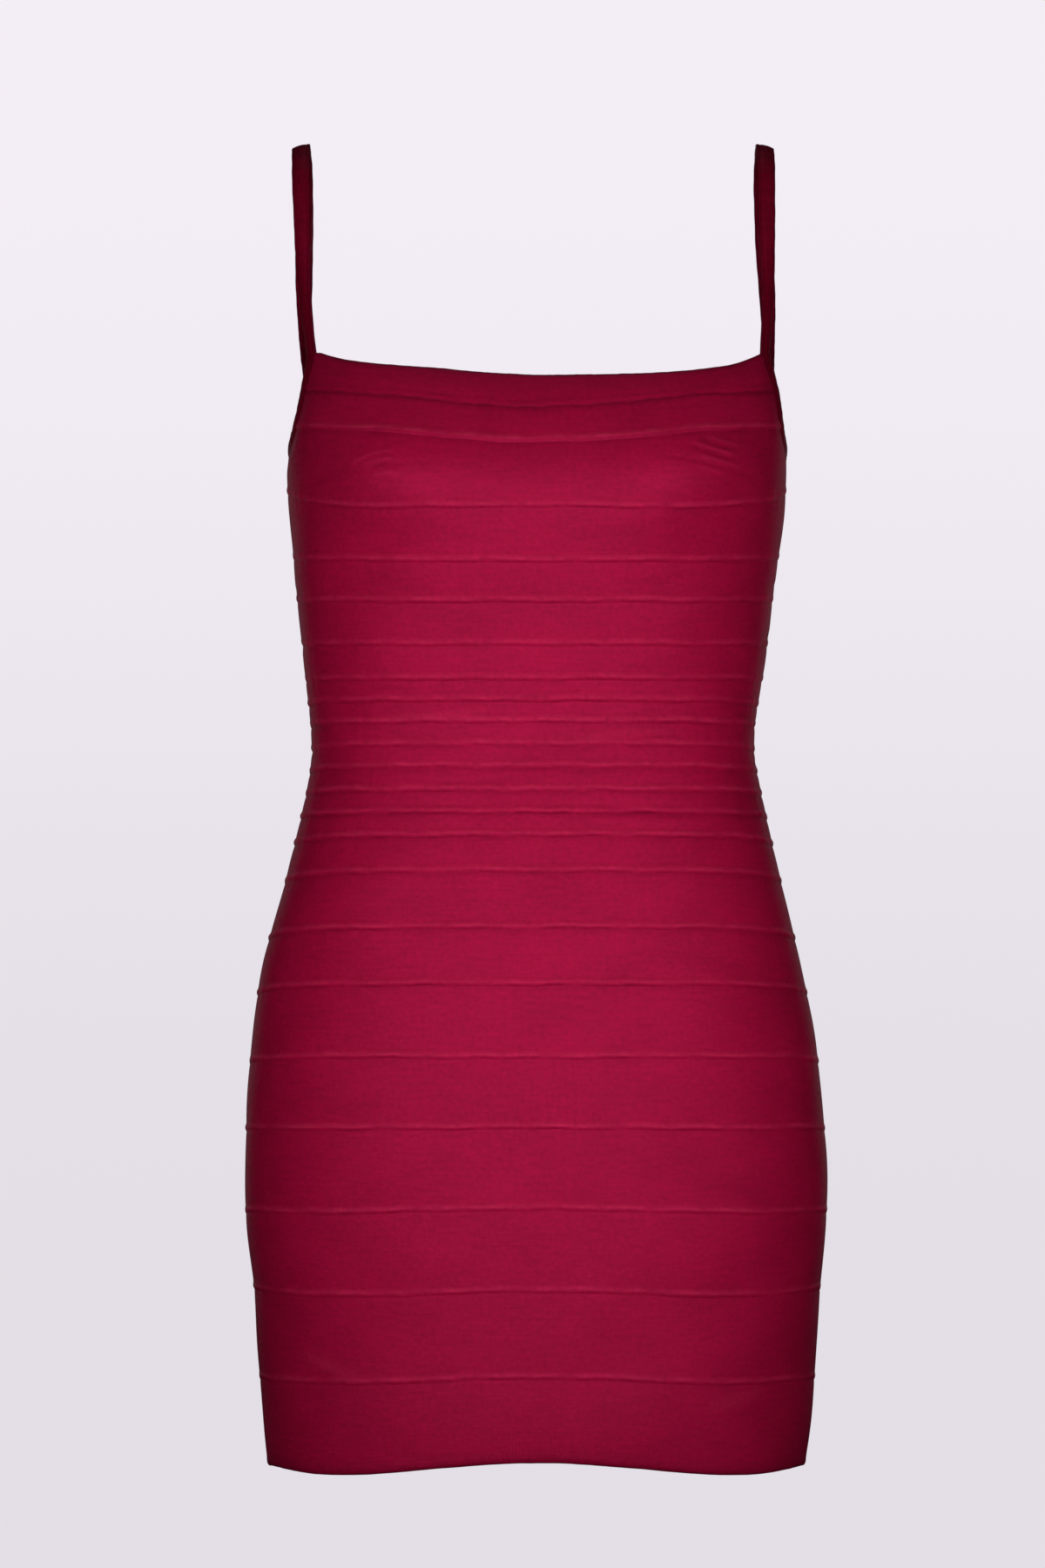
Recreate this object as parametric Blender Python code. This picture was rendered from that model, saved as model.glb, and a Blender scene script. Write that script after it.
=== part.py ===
"""A short fitted bandage dress: knitted strips sewn edge to edge, with one bound strap loop on each side.

Metres, +Z up, the wearer faces -Y and +X is the wearer's left. The origin lies midway between the two
points where the straps rest on the shoulders, level with the straps' undersides. Tables are in
millimetres, and a drop is a distance below the origin.
"""

import math
from collections import namedtuple

import bmesh
import bpy
import numpy as np
from mathutils import Vector

MM = 0.001

# ---- the cloth

WALL = 1.5              # heavy knit, from the inside face to the outside face
SEAM_GAP = 0.3          # left between neighbouring pieces
LIP_HEIGHT = 0.9        # how far a strip's turned lower edge stands out
LIP_DEPTH = 2.6         # how much of the strip's height that edge takes
EDGE_ROLL = 0.5         # how far the turned top edges stand out
HEM_ROLL = 0.3          # how far the turned hem stands out
SEGMENTS = 22           # flat facets round the front, and as many round the back

# ---- the figure that the dress is cut for: horizontal sections of the cloth's outer face

Section = namedtuple("Section", "drop half_width front_depth back_depth squareness")
SECTIONS = [
    Section(97, 135.0, 77, 86, 3.0),
    Section(127, 138.5, 86, 90, 3.0),     # neckline
    Section(152, 142.0, 97, 92, 3.0),
    Section(168, 144.4, 104, 92, 2.9),
    Section(199, 145.3, 112, 92, 2.8),    # fullest chest
    Section(239, 141.6, 107, 89, 2.6),
    Section(270, 138.4, 100, 85, 2.5),
    Section(301, 134.6, 94, 81, 2.45),
    Section(341, 129.6, 89, 77, 2.4),     # waist
    Section(353, 129.3, 89, 77, 2.4),
    Section(372, 131.8, 91, 79, 2.4),
    Section(392, 135.9, 93, 84, 2.4),
    Section(433, 145.9, 98, 97, 2.4),
    Section(474, 156.3, 102, 110, 2.35),
    Section(525, 165.0, 105, 121, 2.3),
    Section(596, 169.8, 107, 126, 2.3),   # fullest hip
    Section(627, 169.4, 107, 123, 2.3),
    Section(668, 165.5, 106, 117, 2.3),
    Section(729, 161.2, 105, 111, 2.3),
    Section(787, 156.0, 104, 107, 2.3),
]

# The strips are knitted with a little ease over the chest, on both sides of the middle.
EASE_OUT = 9.0          # how far the front is eased out there
EASE_SIDE = 80.0        # how far from the middle
EASE_DROP = 193.0
EASE_SPREAD_SIDE = 42.0
EASE_SPREAD_DROP = 40.0

# ---- the seams between strips

# drop: at the middle of the front. side_fall: how much lower the seam is at the side than in the middle.
# quarter_fall: what is added to that halfway round. Negative values are higher than the middle.
Seam = namedtuple("Seam", "drop side_fall quarter_fall")
SEAMS = [
    Seam(138.3, -26.0, -1.0),    # neckline
    Seam(157.6, -18.0, -6.0),
    Seam(178.3, -16.0, -5.0),
    Seam(215.4, -13.7, 1.9),
    Seam(246.4, -6.0, 0.0),
    Seam(269.2, -3.5, 0.0),
    Seam(293.6, -2.2, 0.0),
    Seam(313.2, -0.9, 0.0),
    Seam(325.3, 1.8, 0.0),
    Seam(337.5, 1.7, 0.0),
    Seam(350.5, 3.1, 0.0),
    Seam(362.9, 3.5, 0.0),
    Seam(376.3, 3.1, 0.0),
    Seam(389.0, 4.2, 0.0),
    Seam(402.1, 6.6, 0.0),
    Seam(422.4, 8.3, 0.0),
    Seam(454.5, 9.6, 0.0),
    Seam(486.8, 9.1, 0.0),
    Seam(528.2, 7.8, 0.0),
    Seam(568.1, 7.1, 1.2),
    Seam(614.2, 9.2, 2.7),
    Seam(660.8, 6.5, 4.0),
    Seam(710.2, 10.1, 4.2),
    Seam(758.2, 9.3, 7.0),       # hem
]
SIDE_FALL_POWER = 1.6   # how late round the body the side fall sets in

FIRST_FRONT_STRIP = 1
FIRST_BACK_STRIP = 2
ARMHOLE_STRIPS = 3      # strips 1 to 3 reach the armholes, and strip 3 runs on under them
UPRIGHT_SHARES = (0.0, 0.25, 0.5, 0.75)                 # rows of facets beside the armholes
UNDERARM_SHARES = (0.12, 0.27, 0.45, 0.7, 1.0)          # columns of facets under the armholes
CURVED_STRIPS = (3, 4)  # the chest strips also bend from top to bottom, so they get a row halfway

# ---- the armholes: a squared U on the side of the figure, drawn round the line x = side, y = 0

UNDERARM_DROP = 184.0
FRONT_CORNER_DROP = 123.0
BACK_CORNER_DROP = 144.0
FRONT_CORNER_TURN = 21.5    # degrees from the side forwards to the armhole's upright edge
BACK_CORNER_TURN = 20.0     # degrees from the side backwards
U_SQUARENESS = 3.4

# ---- the binding and strap

STRAP_WIDTH = 10.8
STRAP_THICK = 1.9
STRAP_EDGE_THICK = 1.3      # its turned edges are thinner than its middle
STRAP_SHOULDER = 2.2        # how far in from the edge it reaches full thickness
STRAP_STEP = 13.0           # length of its flat facets over the shoulder
TWIST_LENGTH = 130.0        # over which it turns from lying on the chest to lying on the shoulder

# The middle line of the strap's underside over the right shoulder.
StrapPoint = namedtuple("StrapPoint", "side depth drop")
STRAP_PATH = [
    StrapPoint(133.5, -43.0, 85.0),
    StrapPoint(134.1, -42.0, 48.0),
    StrapPoint(134.9, -31.0, 16.0),
    StrapPoint(135.7, 0.0, 0.0),
    StrapPoint(135.8, 32.0, 14.0),
    StrapPoint(135.9, 49.0, 48.0),
    StrapPoint(136.2, 53.0, 92.0),
]

CRIMSON = (0.27, 0.006, 0.035, 1.0)
DEEP_CRIMSON = (0.17, 0.004, 0.024, 1.0)


# ---- curves through tables


def through_table(at, places, values):
    """The smooth curve through the table's rows, read at one place."""
    places = np.asarray(places, float)
    values = np.asarray(values, float)
    row = int(np.clip(np.searchsorted(places, at) - 1, 0, len(places) - 2))
    slopes = np.gradient(values, places, axis=0)
    span = places[row + 1] - places[row]
    t = (at - places[row]) / span
    return (
        values[row] * (1 + 2 * t) * (1 - t) ** 2
        + values[row + 1] * t * t * (3 - 2 * t)
        + span * slopes[row] * t * (1 - t) ** 2
        - span * slopes[row + 1] * t * t * (1 - t)
    )


SECTION_DROPS = [section.drop for section in SECTIONS]
SECTION_SHAPES = [section[1:] for section in SECTIONS]


def section_at(drop):
    return Section(drop, *through_table(drop, SECTION_DROPS, SECTION_SHAPES))


# ---- the figure's surface


def flat_point(turn, section):
    """Where a section is met, turning from the front middle (0) by the +X side (90) to the back (180)."""
    across, along = math.sin(math.radians(turn)), math.cos(math.radians(turn))
    depth = section.front_depth if along >= 0 else section.back_depth
    power = section.squareness
    reach = (abs(across / section.half_width) ** power + abs(along / depth) ** power) ** (-1 / power)
    return across * reach, -along * reach


def body_point(turn, drop):
    """A point of the cloth's outer face, in millimetres."""
    side, depth = flat_point(turn, section_at(drop))
    if depth < 0:
        far_side = (abs(side) - EASE_SIDE) / EASE_SPREAD_SIDE
        far_drop = (drop - EASE_DROP) / EASE_SPREAD_DROP
        depth -= EASE_OUT * math.exp(-far_side ** 2 - far_drop ** 2) * min(1.0, -depth / 60.0)
    return np.array([side, depth, -drop])


def body_normal(turn, drop):
    """The direction out of the cloth there."""
    small_turn, small_drop = 0.5, 1.0
    around = body_point(turn + small_turn, drop) - body_point(turn - small_turn, drop)
    down = body_point(turn, drop + small_drop) - body_point(turn, drop - small_drop)
    return unit(np.cross(down, around))


def unit(vector):
    return vector / np.linalg.norm(vector)


def cloth_point(turn, drop, out):
    """A point at some distance outside (or, if negative, inside) the outer face."""
    return body_point(turn, drop) + body_normal(turn, drop) * out


def side_turn(drop, front):
    """The turn at which a strip stops, half a seam gap short of the side seam."""
    small = math.degrees(SEAM_GAP / 2 / section_at(drop).half_width)
    return 90.0 - small if front else 90.0 + small


# ---- seam lines


def seam_drop(seam, turn):
    """How far below the origin a seam runs, at some turn from the front middle."""
    section = section_at(seam.drop)
    share = min(1.0, abs(flat_point(turn, section)[0]) / section.half_width)
    rise = 1 - math.sqrt(1 - share ** 2)
    return (
        seam.drop
        + seam.side_fall * rise ** SIDE_FALL_POWER
        + seam.quarter_fall * 4 * share ** 2 * (1 - share ** 2)
    )


def row_drop(upper, lower, share, turn):
    """A line between two seams, kept half a gap clear of both."""
    top = seam_drop(upper, turn) + SEAM_GAP / 2
    bottom = seam_drop(lower, turn) - SEAM_GAP / 2
    return top + (bottom - top) * share


# ---- the armhole's edge


def armhole_drop(turn):
    """The drop of the armhole's edge at a turn near the side, 90."""
    corner = FRONT_CORNER_DROP if turn < 90 else BACK_CORNER_DROP
    limit = FRONT_CORNER_TURN if turn < 90 else BACK_CORNER_TURN
    share = min(1.0, abs(turn - 90) / limit)
    return corner + (UNDERARM_DROP - corner) * (1 - share ** U_SQUARENESS) ** (1 / U_SQUARENESS)


def row_end(upper, lower, share, front):
    """The turn at which a line between two seams meets the armhole's upright edge."""
    near, far = (60.0, 90.0) if front else (120.0, 90.0)
    for _ in range(40):
        middle = (near + far) / 2
        if row_drop(upper, lower, share, middle) < armhole_drop(middle):
            far = middle
        else:
            near = middle
    return (near + far) / 2


def underarm_corner(front):
    """The turn at which the top of the strip under the armhole reaches the armhole's edge."""
    return row_end(SEAMS[ARMHOLE_STRIPS - 1], SEAMS[ARMHOLE_STRIPS], 0.0, front)


# ---- meshes


def add_piece(name, mesh, colour, roughness):
    """Puts one finished solid into the scene with a material of its own."""
    data = bpy.data.meshes.new(name)
    bmesh.ops.recalc_face_normals(mesh, faces=mesh.faces)
    bmesh.ops.triangulate(mesh, faces=mesh.faces)
    mesh.to_mesh(data)
    mesh.free()
    if signed_volume(data) < 0:
        data.flip_normals()
    data.shade_smooth()
    data.set_sharp_from_angle(angle=math.radians(40))
    material = bpy.data.materials.new(name + "_cloth")
    material.use_nodes = True
    shader = material.node_tree.nodes["Principled BSDF"]
    shader.inputs["Base Color"].default_value = colour
    shader.inputs["Roughness"].default_value = roughness
    shader.inputs["Metallic"].default_value = 0.0
    data.materials.append(material)
    piece = bpy.data.objects.new(name, data)
    bpy.context.scene.collection.objects.link(piece)
    return piece


def signed_volume(data):
    volume = 0.0
    for face in data.polygons:
        a, b, c = (data.vertices[index].co for index in face.vertices)
        volume += a.dot(b.cross(c)) / 6
    return volume


def tube_mesh(profiles, closed):
    """Joins equal closed profiles in order, capped at both ends unless the last one meets the first."""
    mesh = bmesh.new()
    rings = [[mesh.verts.new(Vector(point) * MM) for point in profile] for profile in profiles]
    pairs = list(zip(rings, rings[1:]))
    if closed:
        pairs.append((rings[-1], rings[0]))
    for ring, following in pairs:
        for index in range(len(ring)):
            after = (index + 1) % len(ring)
            mesh.faces.new((ring[index], ring[after], following[after], following[index]))
    if not closed:
        mesh.faces.new(rings[0])
        mesh.faces.new(reversed(rings[-1]))
    return mesh


# ---- the strips


# share: how far down the strip a row of points lies. out: how far it is raised. inside: whether the
# plain inner face has the row too.
Row = namedtuple("Row", "share out inside")


def strip_rows(number, front):
    """The strip's profile from its top edge down."""
    upper, lower = SEAMS[number - 1], SEAMS[number]
    lip = HEM_ROLL if lower is SEAMS[-1] else LIP_HEIGHT
    first = number == (FIRST_FRONT_STRIP if front else FIRST_BACK_STRIP)
    lip_share = LIP_DEPTH / (lower.drop - upper.drop)
    rows = [Row(0.0, EDGE_ROLL if first else 0.0, True)]
    if number < ARMHOLE_STRIPS:
        rows += [Row(share, 0.0, True) for share in UPRIGHT_SHARES[1:]]
    if number in CURVED_STRIPS:
        rows.append(Row(0.5, 0.0, True))
    rows.append(Row(1 - lip_share, 0.0, False))
    rows.append(Row(1 - lip_share / 2, lip, False))
    rows.append(Row(1.0, lip / 2, True))
    return rows


def column_shares(number, front):
    """Where the facets' edges lie, as shares of the way from the middle (0) to the side (1)."""
    half = SEGMENTS // 2
    shares = [index / half for index in range(half + 1)]
    if number != ARMHOLE_STRIPS:
        return shares
    corner = 1 - abs(underarm_corner(front) - 90) / 90
    return [share * corner for share in shares] + [corner + (1 - corner) * s for s in UNDERARM_SHARES]


def strip_column(number, front, share, rows):
    """The turns and drops of a strip's rows at one share of the way from its middle to its side."""
    upper, lower = SEAMS[number - 1], SEAMS[number]
    middle = 0.0 if front else 180.0
    turns, drops = [], []
    for row in rows:
        if number < ARMHOLE_STRIPS:
            end = row_end(upper, lower, row.share, front)
        else:
            end = side_turn(lower.drop, front)
        turns.append(middle + (end - middle) * share)
        drops.append(row_drop(upper, lower, row.share, turns[-1]))
    if number == ARMHOLE_STRIPS and abs(turns[0] - 90) < abs(underarm_corner(front) - 90):
        top, bottom = armhole_drop(turns[0]), drops[-1]
        drops = [top + (bottom - top) * row.share for row in rows]
    return turns, drops


def strip(name, number, front):
    """A knitted strip, front or back, with its raised lower edge over a plain inside."""
    rows = strip_rows(number, front)
    profiles = []
    for share in column_shares(number, front):
        places = list(zip(*strip_column(number, front, share, rows), rows))
        outside = [cloth_point(turn, drop, row.out) for turn, drop, row in places]
        inside = [cloth_point(turn, drop, -WALL) for turn, drop, row in places if row.inside]
        profiles.append(outside + inside[::-1])
    mirrored = [[point * (-1, 1, 1) for point in profile] for profile in profiles[:0:-1]]
    return add_piece(name, tube_mesh(mirrored + profiles, closed=False), CRIMSON, 0.85)


# ---- the binding and strap loops


def armhole_half(front):
    """Points of one half of the armhole's edge, from its corner down to the middle of the underarm."""
    half = []
    first = FIRST_FRONT_STRIP if front else FIRST_BACK_STRIP
    for number in range(first, ARMHOLE_STRIPS):
        for share in UPRIGHT_SHARES:
            half.append(row_end(SEAMS[number - 1], SEAMS[number], share, front))
    corner = underarm_corner(front)
    half.append(corner)
    half += [corner + (90.0 - corner) * share for share in UNDERARM_SHARES]
    return [(turn, armhole_drop(turn)) for turn in half]


def armhole_stations():
    """Points of the armhole's edge, from the back corner by the underarm to the front corner."""
    return armhole_half(False) + armhole_half(True)[-2::-1]


def strap_frames():
    """Positions, width directions and outward directions right round the right-hand loop."""
    stations = armhole_stations()
    edge = [cloth_point(turn, drop, -WALL) for turn, drop in stations]
    frames = []
    for index, (turn, drop) in enumerate(stations):
        before, after = edge[max(index - 1, 0)], edge[min(index + 1, len(edge) - 1)]
        along = unit(after - before)
        outward = body_normal(turn, drop)
        across = unit(np.cross(along, outward))
        frames.append((edge[index] + across * (SEAM_GAP + STRAP_WIDTH / 2), across))
    return frames + shoulder_frames(frames[-1], frames[0])


def shoulder_frames(start, end):
    """The stretch of the loop that leaves the cloth, over the shoulder from front to back."""
    points = [start[0]] + [np.array([p.side, p.depth, -p.drop]) for p in STRAP_PATH] + [end[0]]
    lengths = np.cumsum([0.0] + [np.linalg.norm(b - a) for a, b in zip(points, points[1:])])
    total = lengths[-1]
    count = round(total / STRAP_STEP)
    frames = []
    for step in range(1, count):
        at = total * step / count
        point = through_table(at, lengths, points)
        ahead = through_table(min(at + 1, total), lengths, points)
        along = unit(ahead - through_table(max(at - 1, 0), lengths, points))
        turned = min(1.0, min(at, total - at) / TWIST_LENGTH)
        near = start[1] if at < total / 2 else end[1]
        across = near * (1 - turned) + np.array([1.0, 0.0, 0.0]) * turned
        across = unit(across - along * np.dot(across, along))
        frames.append((point, across))
    return frames


def strap_profile(point, across, along):
    """The strap's section: flat inside, a little fuller along the middle of its outer face."""
    outward = unit(np.cross(across, along))
    half = STRAP_WIDTH / 2
    corners = [
        (-half, 0.0),
        (-half, STRAP_EDGE_THICK),
        (-half + STRAP_SHOULDER, STRAP_THICK),
        (half - STRAP_SHOULDER, STRAP_THICK),
        (half, STRAP_EDGE_THICK),
        (half, 0.0),
    ]
    return [point + across * side + outward * out for side, out in corners]


def strap(name, side):
    """The closed loop round one armhole and over the shoulder; side is 1 for +X and -1 for -X."""
    frames = strap_frames()
    count = len(frames)
    profiles = []
    for index, (point, across) in enumerate(frames):
        along = unit(frames[(index + 1) % count][0] - frames[index - 1][0])
        profile = strap_profile(point, across, along)
        profiles.append([corner * (side, 1, 1) for corner in profile])
    return add_piece(name, tube_mesh(profiles, closed=True), DEEP_CRIMSON, 0.8)


# ---- the dress


def clear_scene():
    for item in list(bpy.data.objects):
        bpy.data.objects.remove(item, do_unlink=True)


def build():
    clear_scene()
    for number in range(FIRST_FRONT_STRIP, len(SEAMS)):
        strip(f"front_strip_{number:02d}", number, front=True)
    for number in range(FIRST_BACK_STRIP, len(SEAMS)):
        strip(f"back_strip_{number:02d}", number, front=False)
    strap("armhole_strap_right", 1)
    strap("armhole_strap_left", -1)


build()
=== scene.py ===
"""The looks of the bandage dress: each knitted strip as a fine lapped shell, the bound strap loops, the
knit itself, and a plain pale studio.

The frame is in metres, +Z up, and the front faces -Y. The dress's tables are in millimetres, and a drop
is a distance below the origin, which lies between the tops of the straps. A turn is an angle round the
body in degrees: 0 is the middle of the front, 90 the +X side, 180 the middle of the back, -90 the -X side.
"""

import math
from collections import namedtuple

import bpy
import numpy as np
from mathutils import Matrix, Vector


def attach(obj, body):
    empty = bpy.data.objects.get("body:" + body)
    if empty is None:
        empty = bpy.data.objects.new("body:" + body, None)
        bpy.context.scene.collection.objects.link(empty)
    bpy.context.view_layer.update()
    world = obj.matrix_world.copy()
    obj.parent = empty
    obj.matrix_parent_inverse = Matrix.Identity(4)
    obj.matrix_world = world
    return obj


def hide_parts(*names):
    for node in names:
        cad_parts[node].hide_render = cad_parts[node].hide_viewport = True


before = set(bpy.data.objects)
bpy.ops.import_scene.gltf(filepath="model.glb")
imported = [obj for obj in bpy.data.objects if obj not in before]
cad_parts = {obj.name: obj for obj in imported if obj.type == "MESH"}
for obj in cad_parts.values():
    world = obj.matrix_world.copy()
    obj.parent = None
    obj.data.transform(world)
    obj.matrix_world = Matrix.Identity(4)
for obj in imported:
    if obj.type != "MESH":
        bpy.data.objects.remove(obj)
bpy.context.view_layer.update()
MM = 0.001


def table(columns, rows):
    """Rows whose columns can be read by name."""
    named_row = namedtuple("Row", columns)
    return [named_row(*row) for row in rows]


# ---- the cloth and the figure it is cut for

WALL = 1.5
SECTIONS = table("drop half_width front_depth back_depth squareness", [
    (97, 135.0, 77, 86, 3.0),
    (127, 138.5, 86, 90, 3.0),     # neckline
    (152, 142.0, 97, 92, 3.0),
    (168, 144.4, 104, 92, 2.9),
    (199, 145.3, 112, 92, 2.8),    # fullest chest
    (239, 141.6, 107, 89, 2.6),
    (270, 138.4, 100, 85, 2.5),
    (301, 134.6, 94, 81, 2.45),
    (341, 129.6, 89, 77, 2.4),     # waist
    (353, 129.3, 89, 77, 2.4),
    (372, 131.8, 91, 79, 2.4),
    (392, 135.9, 93, 84, 2.4),
    (433, 145.9, 98, 97, 2.4),
    (474, 156.3, 102, 110, 2.35),
    (525, 165.0, 105, 121, 2.3),
    (596, 169.8, 107, 126, 2.3),   # fullest hip
    (627, 169.4, 107, 123, 2.3),
    (668, 165.5, 106, 117, 2.3),
    (729, 161.2, 105, 111, 2.3),
    (787, 156.0, 104, 107, 2.3),
])
# The chest's own fullness: how much further forward the cloth stands, to each side, and where most.
EASE_OUT = 9.0
EASE_SIDE = 80.0
EASE_DROP = 193.0
EASE_SPREAD_SIDE = 42.0
EASE_SPREAD_DROP = 40.0
EASE_FULL_DEPTH = 60.0      # from here it fades out towards the side seams
# Beside the +X armhole the cloth stands off sideways.
GAPE_OUT = 1.7
GAPE_DROP = 146.0
GAPE_SPREAD = 21.0
GAPE_SIDE = 90.0

# How far the worn dress hangs towards +X at each height, because it isn't worn quite straight.
SWAYS = table("drop shift", [
    (-20, -1.6),
    (60, -0.2),
    (110, 1.2),
    (145, 1.7),
    (200, 0.9),
    (270, 0.0),
    (340, -1.3),
    (400, -0.7),
    (455, -1.9),
    (530, -0.8),
    (600, 0.5),
    (680, 1.1),
    (790, 0.9),
])

# drop: at the middle of the front. side_fall: how much lower the seam is at the side. quarter_fall: what
# is added to that halfway round. lip: how boldly it stands out. light: how strong the painted highlight on
# its lip is. dark: how strong the painted shadow in its groove is.
SEAMS = table("drop side_fall quarter_fall lip light dark", [
    (136.5, -24.6, -1.0, 1, 1, 1),  # neckline
    (157.6, -18.0, -6.0, 0.7, 0, 3),
    (178.3, -16.0, -5.0, 1.2, 1.9, 1),
    (215.4, -13.7, 1.9, 0.85, 1.2, 0.5),
    (246.4, -6.0, 0.0, 0.8, 1.1, 0.3),
    (269.2, -3.5, 0.0, 0.8, 1, 0.3),
    (293.6, -2.2, 0.0, 0.7, 1, 0.3),
    (313.2, -0.9, 0.0, 0.8, 1, 0.3),
    (325.3, 1.8, 0.0, 0.9, 1, 0.4),
    (337.5, 1.7, 0.0, 0.85, 1.4, 0.3),
    (350.5, 3.1, 0.0, 0.8, 1.2, 0.3),
    (362.9, 3.5, 0.0, 1, 1.5, 0.7),
    (376.3, 3.1, 0.0, 1.2, 1.6, 0.9),
    (389.0, 4.2, 0.0, 1.5, 1.3, 1.4),
    (402.1, 6.6, 0.0, 1.3, 1.5, 1.1),
    (422.4, 8.3, 0.0, 1.2, 1.4, 1),
    (454.5, 9.6, 0.0, 1.2, 1.5, 1),
    (486.8, 9.1, 0.0, 1.3, 1.4, 1),
    (528.2, 7.8, 0.0, 1.1, 1.5, 0.4),
    (568.1, 7.1, 1.2, 1, 1.5, 0.3),
    (614.2, 9.2, 2.7, 0.8, 1.4, 0.1),
    (660.8, 6.5, 4.0, 0.8, 1.2, 0.2),
    (710.2, 10.1, 4.2, 0.8, 1.2, 0.2),
    (758.2, 13.0, 7.6, 1, 1, 1),  # hem
])
SIDE_FALL_POWER = 1.6
NECKLINE_LIFT = 3.4         # the neckline rides up this much on one side, as the dress is worn
NECKLINE_LIFT_TURN = -44.0
NECKLINE_LIFT_SPREAD = 26.0
FIRST_STRIP = {"front": 1, "back": 2}      # the back's top edge lies one strip lower
LAST_STRIP = len(SEAMS) - 1
ARMHOLE_STRIPS = 3          # the armholes cut into this many strips, the last of which runs on under them

UNDERARM_DROP = 184.0
CORNER_DROP = {"front": 123.0, "back": 144.0}
CORNER_TURN = {"front": 20.8, "back": 20.0}
U_SQUARENESS = 3.4
WIDEST_ARMHOLE = 30.0       # no armhole's edge lies further from the side, in degrees
HALVINGS = 40               # of that span, in the search for one of its points
ARMHOLE_STATIONS = 24       # points of half an armhole's edge, for measuring how far away it is

STRAP_WIDTH = 10.8
STRAP_GAP = 0.3
TWIST_LENGTH = 130.0        # in which a strap turns from lying along the cloth to lying on the shoulder
SHOULDER_SLOPE = 14.0       # degrees by which the strap tips outwards on top of the shoulder
STRAP_PATH = table("side depth drop", [
    (133.5, -43.0, 85.0),
    (134.1, -42.0, 48.0),
    (134.9, -31.0, 16.0),
    (135.7, 0.0, 0.0),
    (135.8, 32.0, 14.0),
    (136.7, 49.0, 48.0),
    (137.6, 53.0, 92.0),
])

# ---- fine form

COLUMNS = 232               # round half the body
BODY_STEP = 2.8             # from row to row down a strip
CREASED_STRIP = 3           # has the finest creases, so it is meshed more finely
CREASED_COLUMNS = 420
CREASED_STEP = 1.1
SHARP_ANGLE = 55.0
SIDE_OVERLAP = 0.25         # how far a strip runs past its side seam, into the other half's strip
SIDE_DIVE = 1.0             # and how steeply it goes in there
BESIDE_SEAM = (0.5, 1.0, 1.5)       # extra columns this far from a strip's ends
SIDE_TUCK = 0.28            # how far the cloth dips into a side seam
SIDE_TUCK_WIDTH = 1.2
# Painted shade: the dye is painted darker down in a side seam.
SIDE_PAINTED_SHADE = 0.35           # how much darker it is down in there
MIN_BODY_ROWS = 3           # between a strip's edges, on its outer face
MIN_INNER_ROWS = 2
PILLOW = 0.35               # how far a strip swells between its seams
PILLOW_POWER = 0.75         # under 1 keeps the swell fuller towards the seams than a parabola
LAP = 1.9                   # how far a strip runs up under the lip of the one above
STRAP_STEP = 0.8
ARMHOLE_CALM = 9.0          # swells and creases die out this near to an armhole
ARMHOLE_TUCK = 1.2          # how far the strips run on inside the armhole's binding
MM_PER_DEGREE = 2.45        # round the body, for turning short ways into angles
TINY = 1e-6

# Profiles across an edge. height: from the edge into the strip. out: from the plain outer face. The last
# column is the painted shading: how much lighter or darker the colour is painted there, as painted
# highlight on a lip's crest and painted shadow in a groove or on a turned edge.
EDGE = "height out shade"
# A strip's lower edge: a lip that stands out, rounds over and lies on the next strip. Its crest is painted
# lighter, as painted highlight, and its lower edge darker, as painted shadow.
LIP = table(EDGE, [
    (5.0, 0.00, 0.00),
    (4.1, 0.10, 0.05),
    (3.3, 0.30, 0.10),
    (2.7, 0.43, 0.13),
    (2.1, 0.48, 0.11),
    (1.6, 0.45, 0.04),
    (1.1, 0.37, -0.03),
    (0.7, 0.28, -0.08),
    (0.3, 0.17, -0.12),
    (0.0, 0.06, -0.15),
])
# The lip's underside, painted darker as painted shadow, and the step inside it.
LIP_UNDERSIDE = table(EDGE, [(0.12, 0.03, -0.3), (1.0, 0.03, -0.3), (2.05, 0.03, -0.3)])
LIP_STEP = table(EDGE, [(2.25, -1.45, 0.0), (3.4, -1.5, 0.0)])
# A strip's upper edge, which lies under the lip above it and is painted darker there, as the lip's painted
# shadow.
TUCKED = table(EDGE, [
    (5.0, 0.00, 0.00),
    (4.0, -0.02, -0.03),
    (3.2, -0.04, -0.06),
    (2.6, -0.06, -0.09),
    (2.05, -0.08, -0.12),
    (1.4, -0.08, -0.20),
    (0.2, -0.14, -0.20),
    (0.0, -0.42, -0.20),
])
TUCKED_INSIDE = table(EDGE, [(0.0, -1.15, 0.0), (0.15, -1.42, 0.0), (0.6, -1.5, 0.0)])
# The turned neckline, which rolls inwards over the last few millimetres; its colour is painted darker
# towards the edge, as painted shade.
NECKLINE = table(EDGE, [
    (12.0, 0.00, -0.03),
    (9.5, 0.00, -0.07),
    (7.0, 0.02, -0.11),
    (5.0, 0.10, -0.15),
    (3.6, 0.26, -0.19),
    (2.6, 0.26, -0.23),
    (1.8, 0.10, -0.29),
    (1.1, -0.24, -0.36),
    (0.55, -0.66, -0.43),
    (0.18, -1.12, -0.50),
    (0.0, -1.60, -0.50),
])
# Inside the turned neckline, painted darker near the fold as painted shade.
NECKLINE_INSIDE = table(EDGE, [
    (0.12, -2.05, -0.3),
    (0.5, -2.35, -0.2),
    (1.4, -2.40, 0.0),
    (3.0, -2.00, 0.0),
    (5.0, -1.55, 0.0),
])
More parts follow.
